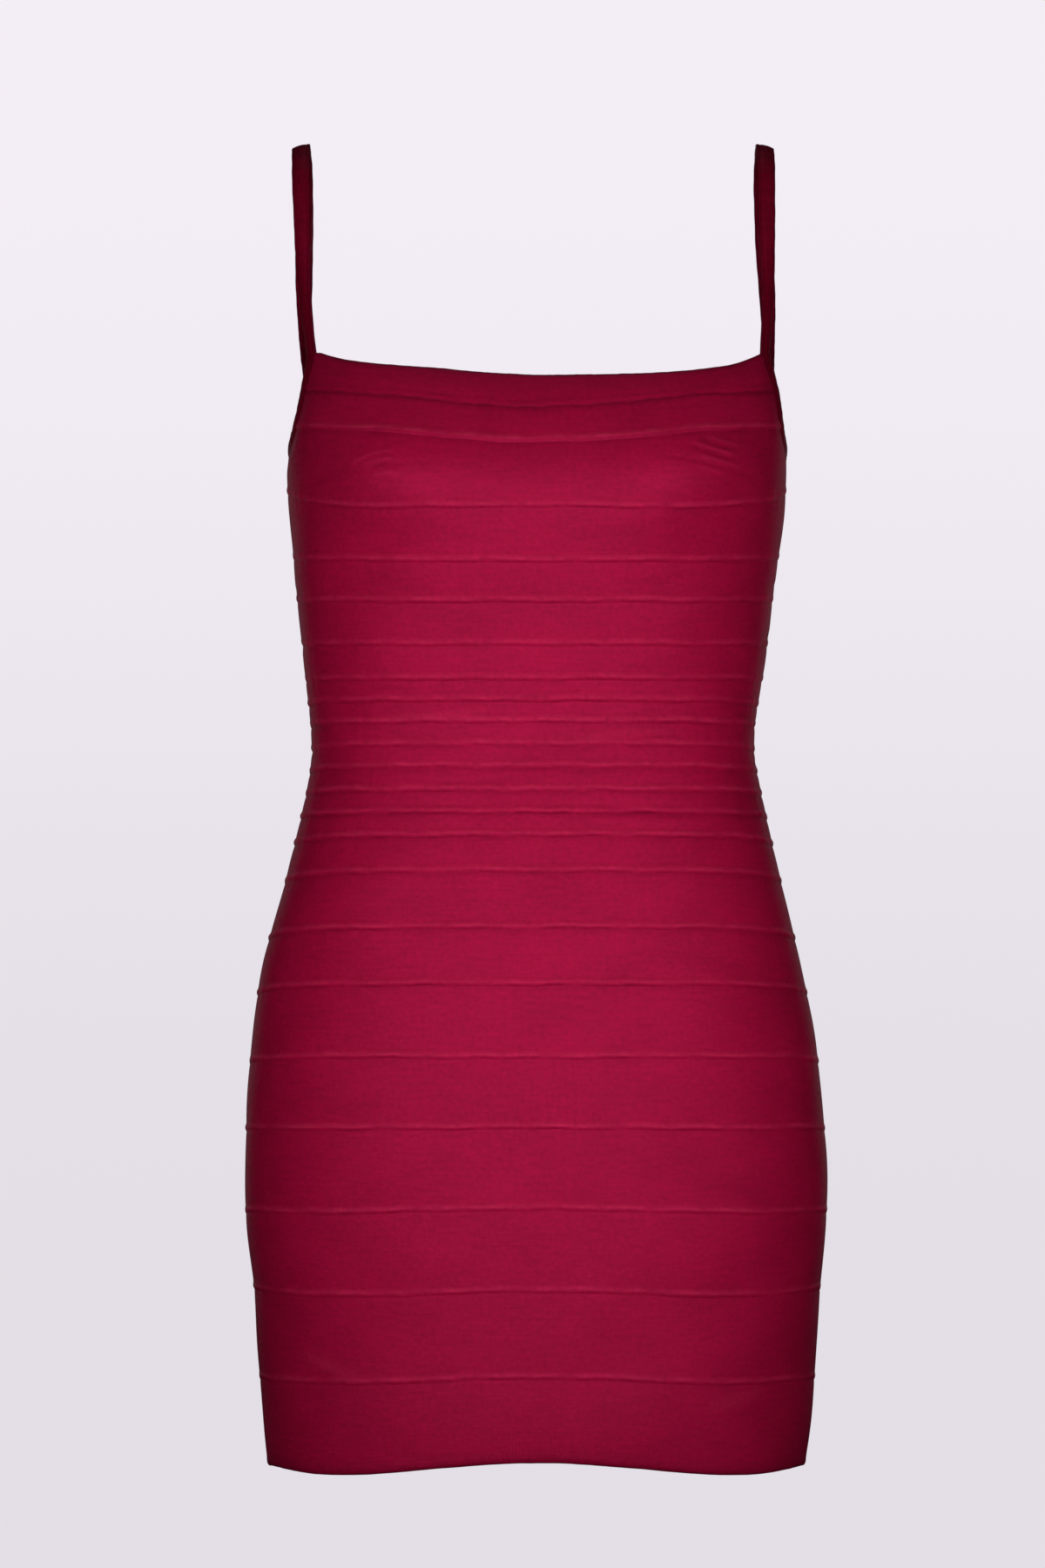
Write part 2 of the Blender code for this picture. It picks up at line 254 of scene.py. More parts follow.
# The hem, turned and rounded; its colour is painted darker towards the edge, as painted shade.
HEM = table(EDGE, [
    (9.0, 0.00, -0.03),
    (7.0, 0.04, -0.08),
    (5.2, 0.12, -0.13),
    (3.6, 0.28, -0.18),
    (2.4, 0.30, -0.24),
    (1.4, 0.14, -0.30),
    (0.65, -0.20, -0.38),
    (0.2, -0.62, -0.45),
    (0.0, -1.05, -0.50),
])
# Inside the turned hem, painted darker near the fold as painted shade.
HEM_INSIDE = table(EDGE, [
    (0.15, -1.45, -0.3),
    (0.55, -1.75, -0.2),
    (1.4, -1.85, 0.0),
    (3.0, -1.65, 0.0),
    (5.0, -1.50, 0.0),
])
HEM_CURL = 3.2              # how far the last stretch above the hem closes in, at the front and back
HEM_CURL_AT_SIDE = 0.6
HEM_CURL_HEIGHT = 30.0
NECKLINE_CURL = 3.1         # how far the neckline closes in on the chest
NECKLINE_CURL_HEIGHT = 22.0
NECKLINE_CURL_CALM = 24.0   # it does so less, this near to an armhole

# Waves: cycles is how many go round the body, height is in millimetres.
WAVE = "cycles height"
SEAM_WAVES = table(WAVE, [(9, 0.20), (17, 0.16), (29, 0.10), (47, 0.06), (71, 0.035)])
LIP_WAVES = table(WAVE, [(11, 0.16), (27, 0.16), (53, 0.12), (83, 0.09)])
LIP_WAVE_REACH = 0.8        # waves this high would flatten or double the lip
LIP_FULLNESS = (0.4, 1.5)   # the least and the most that they may leave of it
PUCKER_WAVES = table(WAVE, [(67, 0.055), (101, 0.055), (149, 0.04)])
SOFT_WAVES = table(WAVE, [(5, 0.20), (8, 0.16), (13, 0.12)])
EDGE_CALM = 0.35            # the neckline and hem waver this much less than the seams
PUCKER_HEIGHT = 7.0         # how far from a seam its puckers reach
SOFT_WAVE_DROP = 74.0       # from one soft swell to the next, down the body
SOFT_WAVE_SPREAD = 0.37     # each further wave is longer by this share of it
SOFT_WAVE_SHIFT = 1.7       # and starts this many radians further on
# Where the seeds of each kind of wave start. The number of its seam, strip or side is added.
SEAM_SEED = 100
PUCKER_SEED = 200
LIP_SEED = 300
STRAP_SWELL_SEED = 400
STRAP_WIDTH_SEED = 410

# Creases laid one by one, by the way they look. across: along x on the front and back, along y on the
# sides.
# bow: how far the middle bends off the straight line. rise: height, or depth where it is negative.
CREASE = "across_0 drop_0 across_1 drop_1 bow width rise"
CREASES = {
    "front": table(CREASE, [
        # fanning out below the front of the right-hand armhole
        (86, 179, 114, 188, 0.0, 1.3, -0.36),
        (92, 175, 118, 182, 1.3, 1.3, -0.32),
        (72, 186, 104, 192, -1.0, 1.3, -0.28),
        (88, 177, 116, 184, 1.4, 1.2, 0.36),
        (90, 185, 119, 193, -0.8, 1.3, 0.40),
        (95, 173, 120, 179, 0.8, 1.2, 0.26),
        (92, 191, 107, 195, 0.4, 1.2, 0.22),
        (104, 190, 131, 203, -1.8, 2.4, -0.20),
        # and of the left-hand one, in flat arcs
        (-108, 193, -78, 183, -3.0, 1.2, 0.46),
        (-101, 192, -78, 188, -2.2, 1.1, 0.36),
        (-105, 192, -82, 185, -1.8, 1.0, -0.26),
        (-96, 194, -72, 192, -2.8, 1.2, -0.38),
        (-94, 198, -76, 197, -2.2, 1.3, 0.26),
        (-88, 180, -66, 176, -0.6, 1.2, -0.22),
        (-102, 190, -129, 205, 2.8, 2.4, -0.20),
        # under the chest
        (22, 231, 74, 223, 2.2, 2.8, -0.22),
        (-20, 233, -68, 224, -2.0, 2.6, -0.20),
        (40, 258, 98, 250, 1.4, 2.4, -0.16),
        (-52, 262, -104, 252, -1.8, 2.4, -0.17),
        # across the waist
        (-86, 333, -24, 330, 1.0, 2.6, 0.20),
        (18, 346, 84, 342, -1.2, 2.4, 0.18),
        (-60, 371, -4, 368, 0.8, 2.4, -0.18),
        (30, 384, 92, 390, 1.6, 2.8, -0.20),
        # on the skirt
        (-118, 447, -64, 437, 2.6, 4.2, -0.26),
        (70, 470, 128, 484, -2.8, 4.4, -0.26),
        (-128, 560, -78, 548, 3.0, 5.0, -0.24),
        (84, 598, 136, 611, -3.0, 5.2, -0.22),
        (-136, 696, -96, 712, 2.4, 4.2, 0.30),
        (94, 728, 134, 716, 2.2, 4.0, 0.26),
    ]),
    "back": table(CREASE, [
        # across the small of the back
        (-92, 322, 6, 330, -3.0, 3.4, -0.46),
        (14, 342, 96, 333, -2.6, 3.2, -0.40),
        (-70, 358, 44, 362, 2.4, 3.6, -0.44),
        (-34, 381, 86, 374, 2.2, 3.4, -0.34),
        (38, 306, 98, 297, -2.0, 3.0, -0.30),
        (-102, 300, -48, 308, -2.2, 2.8, -0.26),
        # below the back armholes
        (86, 182, 120, 203, -2.4, 1.6, 0.32),
        (92, 177, 125, 195, -2.0, 1.5, 0.26),
        (-84, 184, -117, 207, 2.6, 1.6, 0.34),
        (-93, 178, -124, 193, 2.2, 1.4, 0.24),
        # over the seat
        (-64, 612, -118, 633, 4.0, 4.6, -0.34),
        (58, 616, 112, 640, -4.4, 4.8, -0.36),
        (-98, 690, -52, 704, 2.6, 4.4, 0.28),
        (60, 701, 110, 688, 2.4, 4.2, 0.26),
    ]),
    "right": table(CREASE, [
        (-52, 258, 34, 250, 2.0, 2.6, -0.28),
        (-40, 286, 46, 292, -2.2, 2.8, -0.30),
        (-58, 330, 30, 338, 2.0, 2.6, -0.30),
        (-22, 362, 58, 354, -1.8, 2.6, -0.26),
    ]),
    "left": table(CREASE, [
        (-50, 262, 28, 254, 1.8, 2.6, -0.26),
        (-30, 296, 52, 288, -2.0, 2.8, -0.30),
        (-54, 340, 26, 332, 2.2, 2.6, -0.28),
        (-24, 352, 54, 366, -1.8, 2.4, -0.28),
    ]),
}
# Across a crease: a ridge or trough, less a lower and broader one, which leaves a faint rim on either side.
CREASE_PEAK = 1.35
CREASE_RIM = 0.35
CREASE_RIM_SPREAD = 2.3
CREASE_TAPER = 0.22         # the share of a crease's length over which it dies out, at each end
# Painted highlight on a crease's ridge and painted shade in its trough, for each millimetre it stands up or
# sinks.
CREASE_PAINTED_SHADING = 0.42         # how much lighter a crease looks for each millimetre that it stands up
CREASE_PAINTED_SHADING_LIMIT = 0.13


# ---- small helpers


def half(front):
    """The name of one half of the dress, as the tables have it."""
    return "front" if front else "back"


def through_table(at, places, values):
    """The smooth curve through a table's rows, read at an array of places."""
    places = np.asarray(places, float)
    values = np.asarray(values, float)
    at = np.asarray(at, float)
    slopes = np.gradient(values, places, axis=0)
    row = np.clip(np.searchsorted(places, at) - 1, 0, len(places) - 2)
    span = places[row + 1] - places[row]
    t = (at - places[row]) / span
    if values.ndim > 1:
        t, span = t[..., None], span[..., None]
    return (
        values[row] * (1 + 2 * t) * (1 - t) ** 2
        + values[row + 1] * t * t * (3 - 2 * t)
        + span * slopes[row] * t * (1 - t) ** 2
        - span * slopes[row + 1] * t * t * (1 - t)
    )


def smooth(share):
    """From 0 to 1, level at both ends."""
    share = np.clip(share, 0.0, 1.0)
    return share * share * (3 - 2 * share)


def unit(vectors):
    return vectors / np.linalg.norm(vectors, axis=-1, keepdims=True)


def lengths_along(points):
    """How far along a line each of its points lies."""
    return np.concatenate([[0.0], np.cumsum(np.linalg.norm(np.diff(points, axis=0), axis=1))])


def in_scene(name, data):
    """A new object in the scene, with its mesh, light or camera."""
    made = bpy.data.objects.new(name, data)
    bpy.context.scene.collection.objects.link(made)
    return made


# ---- the figure's surface


SECTION_DROPS = [section.drop for section in SECTIONS]
SECTION_SHAPES = [section[1:] for section in SECTIONS]


def section_at(drop):
    """Half width, front depth, back depth and squareness, each an array like drop."""
    return np.moveaxis(through_table(drop, SECTION_DROPS, SECTION_SHAPES), -1, 0)


def sway(drop):
    """How far towards +X the dress hangs there."""
    return through_table(drop, [row.drop for row in SWAYS], [row.shift for row in SWAYS])


def flat_point(turn, drop):
    """Where a section is met at a turn, before the sway."""
    half_width, front_depth, back_depth, squareness = section_at(drop)
    across, along = np.sin(np.radians(turn)), np.cos(np.radians(turn))
    depth = np.where(along >= 0, front_depth, back_depth)
    terms = np.abs(across / half_width) ** squareness + np.abs(along / depth) ** squareness
    reach = terms ** (-1 / squareness)
    return across * reach, -along * reach


def body_point(turn, drop):
    """Points of the cloth's plain outer face."""
    side, depth = flat_point(turn, drop)
    far_side = (np.abs(side) - EASE_SIDE) / EASE_SPREAD_SIDE
    far_drop = (drop - EASE_DROP) / EASE_SPREAD_DROP
    ease = EASE_OUT * np.exp(-far_side ** 2 - far_drop ** 2) * np.clip(-depth / EASE_FULL_DEPTH, 0.0, 1.0)
    side = side + sway(drop) + gape(side, drop)
    return np.stack([side, depth - ease, -drop + 0.0 * side], axis=-1)


def gape(side, drop):
    """How much further towards +X the cloth stands beside the +X armhole."""
    near = smooth((side - GAPE_SIDE) / (SECTIONS[0].half_width - GAPE_SIDE))
    return GAPE_OUT * near * np.exp(-(((drop - GAPE_DROP) / GAPE_SPREAD) ** 2))


def body_normal(turn, drop):
    """The directions out of the cloth there."""
    small_turn, small_drop = 0.5, 1.0
    around = body_point(turn + small_turn, drop) - body_point(turn - small_turn, drop)
    down = body_point(turn, drop + small_drop) - body_point(turn, drop - small_drop)
    return unit(np.cross(down, around))


# ---- ripples


def waves(turn, rows, seed):
    """A sum of waves round the body whose phases depend on the seed alone."""
    phases = np.random.RandomState(seed).uniform(0, 2 * math.pi, len(rows))
    angle = np.radians(turn)
    return sum(wave.height * np.sin(wave.cycles * angle + phase) for wave, phase in zip(rows, phases))


def soft_swell(turn, drop):
    """Broad, barely visible swells in the cloth."""
    total = 0.0
    for index, wave in enumerate(SOFT_WAVES):
        slant = 2 * math.pi * drop / (SOFT_WAVE_DROP * (1 + SOFT_WAVE_SPREAD * index))
        angle = wave.cycles * np.radians(turn) + slant + SOFT_WAVE_SHIFT * index
        total = total + wave.height * np.sin(angle)
    return total


def crease_height(crease, across, drop):
    """How far one crease raises the cloth, at places across and down the face that it is on."""
    length = math.hypot(crease.across_1 - crease.across_0, crease.drop_1 - crease.drop_0)
    along_across = (crease.across_1 - crease.across_0) / length
    along_drop = (crease.drop_1 - crease.drop_0) / length
    from_start = (across - crease.across_0) * along_across + (drop - crease.drop_0) * along_drop
    off_line = (drop - crease.drop_0) * along_across - (across - crease.across_0) * along_drop
    share = np.clip(from_start / length, 0.0, 1.0)
    off_line = off_line - crease.bow * 4 * share * (1 - share)
    taper = smooth(share / CREASE_TAPER) * smooth((1 - share) / CREASE_TAPER)
    ridge = np.exp(-((off_line / crease.width) ** 2))
    broad = np.exp(-((off_line / (CREASE_RIM_SPREAD * crease.width)) ** 2))
    return crease.rise * taper * (CREASE_PEAK * ridge - CREASE_RIM * broad)


def creases(points):
    """How far the listed creases raise the cloth at these points."""
    side, depth, drop = points[..., 0], points[..., 1], -points[..., 2]
    places = {
        "front": (side, depth < 0),
        "back": (side, depth > 0),
        "right": (depth, side > 0),
        "left": (depth, side < 0),
    }
    raised = np.zeros(side.shape)
    for face, rows in CREASES.items():
        across, is_there = places[face]
        for crease in rows:
            raised += np.where(is_there, crease_height(crease, across, drop), 0.0)
    return raised


# ---- seam lines


def seam_drop(number, turn):
    """How far below the origin a seam runs at a turn; it wavers a little, as sewn knit does."""
    seam = SEAMS[number]
    half_width = section_at(np.array(seam.drop))[0]
    share = np.minimum(1.0, np.abs(flat_point(turn, np.full(np.shape(turn), seam.drop))[0]) / half_width)
    rise = 1 - np.sqrt(1 - share ** 2)
    line = seam.drop + seam.side_fall * rise ** SIDE_FALL_POWER
    line = line + seam.quarter_fall * 4 * share ** 2 * (1 - share ** 2)
    calm = EDGE_CALM if number in (0, LAST_STRIP) else 1.0
    line = line + calm * waves(turn, SEAM_WAVES, SEAM_SEED + number)
    if number == 0:
        line = line - NECKLINE_LIFT * np.exp(-(((turn - NECKLINE_LIFT_TURN) / NECKLINE_LIFT_SPREAD) ** 2))
    return line


# ---- the armhole's edge


def armhole_drop(from_side, front, tuck=0.0):
    """The drop of the armhole's edge some degrees from the side; tuck moves it into the opening."""
    share = np.minimum(1.0, np.abs(from_side) / (CORNER_TURN[half(front)] - tuck / MM_PER_DEGREE))
    corner = CORNER_DROP[half(front)]
    depth = UNDERARM_DROP - tuck - corner
    return corner + depth * (1 - share ** U_SQUARENESS) ** (1 / U_SQUARENESS)


def row_end(drop_at, front, sign, tuck=0.0):
    """How far from the side, in degrees, a line meets the armhole's upright edge.

    drop_at gives the line's drop at a turn; sign is 1 for the +X armhole and -1 for the -X one."""
    far, near = WIDEST_ARMHOLE, 0.0
    for _ in range(HALVINGS):
        middle = (near + far) / 2
        turn = turn_beside(middle, front, sign)
        if drop_at(np.array(turn)) < armhole_drop(middle, front, tuck):
            near = middle
        else:
            far = middle
    return (near + far) / 2


def turn_beside(from_side, front, sign):
    """The turn that lies some degrees in front of, or behind, the side."""
    if front:
        return sign * (90.0 - from_side)
    return 180.0 - sign * (90.0 - from_side)


def from_front(turn):
    """Degrees from the middle of the front, the shorter way round."""
    return np.abs((turn + 180.0) % 360.0 - 180.0)


# ---- meshes


def mesh_piece(name, points, is_loop, places, painted_shadings):
    """A grid of points (columns by profile) as a closed mesh, with a map of cloth places in metres and
    the painted shading of each point: painted highlight and shade.

    The profile runs round the wall. In a loop the last column meets the first; otherwise both ends are
    capped."""
    columns, profile = points.shape[:2]
    index = np.arange(columns * profile).reshape(columns, profile)
    following = np.roll(index, -1, axis=0) if is_loop else index[1:]
    first = index if is_loop else index[:-1]
    quads = [first, np.roll(first, -1, axis=1), np.roll(following, -1, axis=1), following]
    faces = np.stack(quads, axis=-1).reshape(-1, 4).tolist()
    if not is_loop:
        faces += cap_faces(index[0, ::-1].tolist()) + cap_faces(index[-1].tolist())
    data = bpy.data.meshes.new(name)
    data.from_pydata((points.reshape(-1, 3) * MM).tolist(), [], faces)
    layer = data.uv_layers.new(name="cloth")
    corners = np.empty(len(data.loops), np.int32)
    data.loops.foreach_get("vertex_index", corners)
    flat = (places.reshape(-1, 2) * MM)[corners]
    layer.data.foreach_set("uv", flat.astype(np.float32).ravel())
    shade = data.attributes.new("shade", "FLOAT", "POINT")
    shade.data.foreach_set("value", np.ascontiguousarray(painted_shadings, np.float32).ravel())
    data.update()
    if signed_volume(data) < 0:
        data.flip_normals()
    data.shade_smooth()
    data.set_sharp_from_angle(angle=math.radians(SHARP_ANGLE))
    return in_scene(name, data)


def cap_faces(ring):
    """Closes one end of the wall: its outer half is joined to its inner half, rung by rung."""
    faces = []
    low, high = 0, len(ring) - 1
    while high - low > 2:
        faces.append([ring[low], ring[low + 1], ring[high - 1], ring[high]])
        low, high = low + 1, high - 1
    if high - low == 2:
        faces.append([ring[low], ring[low + 1], ring[high]])
    return faces


def signed_volume(data):
    data.calc_loop_triangles()
    corners = np.empty(len(data.loop_triangles) * 3, np.int32)
    data.loop_triangles.foreach_get("vertices", corners)
    points = np.empty(len(data.vertices) * 3)
    data.vertices.foreach_get("co", points)
    a, b, c = np.moveaxis(points.reshape(-1, 3)[corners.reshape(-1, 3)], 1, 0)
    return float(np.einsum("ij,ij->i", a, np.cross(b, c)).sum() / 6)


# ---- the strips

# A row that runs along a strip. kind: "top" and "bottom" rows lie a height below the strip's upper edge or
# above its lower one, "body" rows a share of the way between.
ProfileRow = namedtuple("ProfileRow", "kind height share out shade")


def edge_rows(kind, edges):
    return [ProfileRow(kind, edge.height, 0.0, edge.out, edge.shade) for edge in edges]


def strip_profile(number, front):
    """Rows round the strip's wall: down its outer face, round its lower edge and up its inner face."""
    first = number == FIRST_STRIP[half(front)]
    last = number == LAST_STRIP
    height = SEAMS[number].drop - SEAMS[number - 1].drop
    top_outside = NECKLINE[::-1] if first else TUCKED[::-1]
    top_inside = NECKLINE_INSIDE if first else TUCKED_INSIDE
    lower = HEM if last else LIP
    under = HEM_INSIDE if last else LIP_UNDERSIDE + LIP_STEP
    rows = edge_rows("top", top_outside)
    step = CREASED_STEP if number == CREASED_STRIP else BODY_STEP
    body_rows = max(MIN_BODY_ROWS, round((height - top_outside[-1].height - lower[0].height) / step))
    rows += [ProfileRow("body", 0.0, (row + 0.5) / body_rows, 0.0, 0.0) for row in range(body_rows)]
    rows += edge_rows("bottom", lower + under)
    inner_rows = max(MIN_INNER_ROWS, body_rows // 2)
    rows += [ProfileRow("body", 0.0, 1 - (row + 0.5) / inner_rows, -WALL, 0.0) for row in range(inner_rows)]
    return rows + edge_rows("top", top_inside[::-1])


def rows_of(kind, rows):
    """Which rows are of a kind, to set beside an array of columns by rows."""
    return np.array([row.kind == kind for row in rows])[None, :]


def strip_places(number, front):
    """Turns and drops of every point of a strip, as arrays of columns by rows, and its profile rows."""
    rows = strip_profile(number, front)
    lap = 0.0 if number == FIRST_STRIP[half(front)] else LAP
    top_margin = max(row.height for row in rows if row.kind == "top")
    bottom_margin = max(row.height for row in rows if row.kind == "bottom")
    columns = CREASED_COLUMNS if number == CREASED_STRIP else COLUMNS
    beside = 1.0 - np.array(BESIDE_SEAM) / (MM_PER_DEGREE * 90.0)
    shares = np.sort(np.concatenate([np.linspace(-1.0, 1.0, columns + 1), beside, -beside]))

    def row_drop(row, turn):
        top, bottom = seam_drop(number - 1, turn) - lap, seam_drop(number, turn)
        if row.kind == "top":
            return top + row.height
        if row.kind == "bottom":
            return bottom - row.height
        return top + top_margin + (bottom - top - top_margin - bottom_margin) * row.share

    turns = np.empty((len(shares), len(rows)))
    drops = np.empty_like(turns)
    reach = 90.0 + SIDE_OVERLAP / MM_PER_DEGREE
    for column, row in enumerate(rows):
        ends = {-1: reach, 1: reach}
        if number < ARMHOLE_STRIPS:
            for sign in ends:
                ends[sign] = 90.0 - row_end(lambda turn: row_drop(row, turn), front, sign, ARMHOLE_TUCK)
        spread = np.where(shares < 0, ends[-1], ends[1]) * shares
        turns[:, column] = spread if front else 180.0 - spread
        drops[:, column] = row_drop(row, turns[:, column])
    if number == ARMHOLE_STRIPS:
        drops = under_armhole(turns, drops, rows, front)
    return turns, drops, rows


def under_armhole(turns, drops, rows, front):
    """Where the armhole cuts into the strip, its rows close up between the armhole's edge and its seam."""
    edge = armhole_drop(from_front(turns) - 90.0, front, ARMHOLE_TUCK)
    top, bottom = drops[:, :1], seam_drop(ARMHOLE_STRIPS, turns)
    scale = (bottom - edge) / np.maximum(bottom - top, TINY)
    closed_up = bottom - (bottom - drops) * scale
    return np.where((edge > top) & ~rows_of("bottom", rows), closed_up, drops)


def distance_to_armhole(points):
    """How far each point lies from the nearer armhole's edge."""
    nearest = np.full(points.shape[:-1], np.inf)
    for sign in (-1, 1):
        for front in (True, False):
            from_side = CORNER_TURN[half(front)] * np.sin(np.linspace(0.0, math.pi / 2, ARMHOLE_STATIONS))
            edge = body_point(turn_beside(from_side, front, sign), armhole_drop(from_side, front))
            for station in edge:
                nearest = np.minimum(nearest, np.linalg.norm(points - station, axis=-1))
    return nearest


def relief(turn, drop, points, number):
    """How far the whole wall is raised: its swell between seams, puckers, soft swells and creases."""
    from_top = np.maximum(0.0, drop - seam_drop(number - 1, turn))
    from_bottom = np.maximum(0.0, seam_drop(number, turn) - drop)
    share = np.clip(from_top / np.maximum(from_top + from_bottom, TINY), 0.0, 1.0)
    raised = PILLOW * (4 * share * (1 - share)) ** PILLOW_POWER
    for seam, distance in ((number - 1, from_top), (number, from_bottom)):
        fade = np.exp(-((distance / PUCKER_HEIGHT) ** 2))
        raised = raised + fade * waves(turn, PUCKER_WAVES, PUCKER_SEED + seam)
    raised = raised + soft_swell(turn, drop) + creases(points)
    if number <= ARMHOLE_STRIPS + 1:
        from_armhole = distance_to_armhole(points)
        raised = raised * smooth(from_armhole / ARMHOLE_CALM)
        raised = raised - neckline_curl(turn, drop) * smooth(from_armhole / NECKLINE_CURL_CALM)
    return raised - SIDE_TUCK * side_seam_nearness(turn, number)


def side_seam_nearness(turn, number):
    """1 in a side seam, falling to 0 within a few millimetres of it."""
    away = np.abs(from_front(turn) - 90.0) * MM_PER_DEGREE
    return np.exp(-((away / SIDE_TUCK_WIDTH) ** 2)) * (number >= ARMHOLE_STRIPS)


def past_side_seam(turn, front):
    """How far a strip's end runs past its side seam."""
    past = from_front(turn) - 90.0 if front else 90.0 - from_front(turn)
    return np.maximum(0.0, past) * MM_PER_DEGREE


def neckline_curl(turn, drop):
    """How far the front closes in just below the neckline."""
    below = np.maximum(0.0, drop - seam_drop(0, turn))
    reach = NECKLINE_CURL * (np.abs(turn) < 90.0)
    return reach * np.clip(1 - below / NECKLINE_CURL_HEIGHT, 0.0, 1.0) ** 2


def hem_curl(turn, drop):
    """How far the cloth closes in just above the hem."""
    above = seam_drop(LAST_STRIP, turn) - drop
    reach = HEM_CURL_AT_SIDE + (HEM_CURL - HEM_CURL_AT_SIDE) * np.cos(np.radians(turn)) ** 2
    return reach * np.clip(1 - above / HEM_CURL_HEIGHT, 0.0, 1.0) ** 2


def edge_form(turns, rows, number, front):
    """How far the rows of a strip stand out and their painted shading: painted highlight and shadow at its
    edges and seams.
    """
    outs = np.tile([row.out for row in rows], (len(turns), 1))
    painted_shadings = np.tile([row.shade for row in rows], (len(turns), 1))
    if number < LAST_STRIP:
        fullness = np.clip(1 + waves(turns, LIP_WAVES, LIP_SEED + number) / LIP_WAVE_REACH, *LIP_FULLNESS)
        is_lip = rows_of("bottom", rows) & (outs > LIP_UNDERSIDE[0].out)
        outs = np.where(is_lip, outs * SEAMS[number].lip * fullness, outs)
        strength = np.where(painted_shadings > 0, SEAMS[number].light, SEAMS[number].dark)
        painted_shadings = np.where(is_lip, painted_shadings * fullness * strength, painted_shadings)
    if number > FIRST_STRIP[half(front)]:
        painted_shadings = np.where(rows_of("top", rows), painted_shadings * SEAMS[number - 1].dark, painted_shadings)
    return outs, painted_shadings


def strip(number, front, material):
    """One knitted strip as a fine shell."""
    turns, drops, rows = strip_places(number, front)
    plain = body_point(turns, drops)
    outs, painted_shadings = edge_form(turns, rows, number, front)
    is_outside = np.array([row.out > -WALL / 2 for row in rows])[None, :]
    # Painted highlight on crease ridges and painted shade in their troughs, and painted shade in the side
    # seams.
    painted_crease_shading = np.clip(CREASE_PAINTED_SHADING * creases(plain), -CREASE_PAINTED_SHADING_LIMIT, CREASE_PAINTED_SHADING_LIMIT)
    painted_shadings = painted_shadings - SIDE_PAINTED_SHADE * side_seam_nearness(turns, number) + is_outside * painted_crease_shading
    outs = outs + relief(turns, drops, plain, number)
    if number >= ARMHOLE_STRIPS:
        outs = outs - SIDE_DIVE * past_side_seam(turns, front)
    if number == LAST_STRIP:
        outs = outs - hem_curl(turns, drops)
    points = plain + body_normal(turns, drops) * outs[..., None]
    arc = lengths_along(plain[:, 0])
    places = np.stack([np.broadcast_to(arc[:, None], drops.shape), -drops], axis=-1)
    name = f"{half(front)}_strip_{number:02d}"
    piece = mesh_piece(name + "_knit", points, False, places, painted_shadings)
    finish_piece(piece, name, material)


def finish_piece(piece, node, material):
    """Places a piece on the frame in its node's stead."""
    piece.data.materials.append(material)
    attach(piece, "root")
    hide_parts(node)


# ---- the binding and strap loops

# The strap's section, round from its inner edge, as places across it and out from its underside. It is
# folded knit, so its edges are round, and a row of sewing draws it in near the inner edge.
STRAP_SECTION = np.array([
    (-5.1, 0.02), (-5.45, 0.22), (-5.62, 0.60), (-5.58, 1.00), (-5.30, 1.34),
    (-4.85, 1.56), (-4.20, 1.66), (-3.75, 1.58), (-3.45, 1.52), (-3.15, 1.62),
    (-2.4, 1.84), (-1.2, 1.96), (0.0, 1.99), (1.2, 1.96), (2.4, 1.84),
    (3.4, 1.66), (4.2, 1.52), (4.85, 1.34), (5.22, 1.04), (5.36, 0.66),
    (5.22, 0.26), (4.85, 0.02), (3.0, 0.0), (0.0, 0.0), (-3.0, 0.0),
])
STRAP_UNDERSIDE = 0.3       # the section stays even up to here
# Its painted shade, as pairs of a distance from its middle line and how much darker the colour is painted
# there: painted shadow along a row of sewing, then painted shade on the turned edge.
STRAP_PAINTED_SHADE = np.array([(2.6, 0.0), (3.4, -0.20), (4.2, -0.02), (4.8, -0.30), (5.4, -0.62)])
# Waves round a whole loop; here a height is a share of the section's own.
STRAP_SWELL_WAVES = table(WAVE, [(41, 0.035), (67, 0.03), (97, 0.02)])
STRAP_WIDTH_WAVES = table(WAVE, [(13, 0.012), (31, 0.012)])
PATH_STATIONS = 120         # along half an armhole, crowded where its edge turns upright
PATH_POWER = 0.8            # under 1 leaves fewer of them by the middle of the underarm


def armhole_path():
    """Turns and drops along the +X armhole's edge, from its back corner by the underarm to its front."""
    turns, drops = [], []
    for front in (False, True):
        first = FIRST_STRIP[half(front)]
        corner = row_end(lambda turn: seam_drop(first - 1, turn), front, 1)
        from_side = corner * np.sin(np.linspace(0.0, math.pi / 2, PATH_STATIONS)) ** PATH_POWER
        from_side = from_side if front else from_side[::-1]
        turns.append(turn_beside(from_side, front, 1))
        drops.append(armhole_drop(from_side, front))
    return np.concatenate(turns), np.concatenate(drops)


def evenly(points, extra, step):
    """Points about one step apart along a line, with other columns carried along."""
    lengths = lengths_along(points)
    keep = np.concatenate([[True], np.diff(lengths) > TINY])
    lengths = lengths[keep]
    at = np.linspace(0.0, lengths[-1], round(lengths[-1] / step))

    def spaced(values):
        return np.stack([np.interp(at, lengths, column) for column in values[keep].T], axis=1)

    return spaced(points), spaced(extra)


def strap_frames():
    """Middle line points of the +X loop's underside and the directions across it."""
    turns, drops = armhole_path()
    normal = body_normal(turns, drops)
    edge, normal = evenly(body_point(turns, drops) - normal * WALL, normal, STRAP_STEP)
    along = unit(np.gradient(edge, axis=0))
    across = unit(np.cross(along, unit(normal)))
    low_points = edge + across * (STRAP_GAP + STRAP_WIDTH / 2)
    high_points, high_across = shoulder_frames(low_points, across)
    return np.concatenate([low_points, high_points]), np.concatenate([across, high_across])


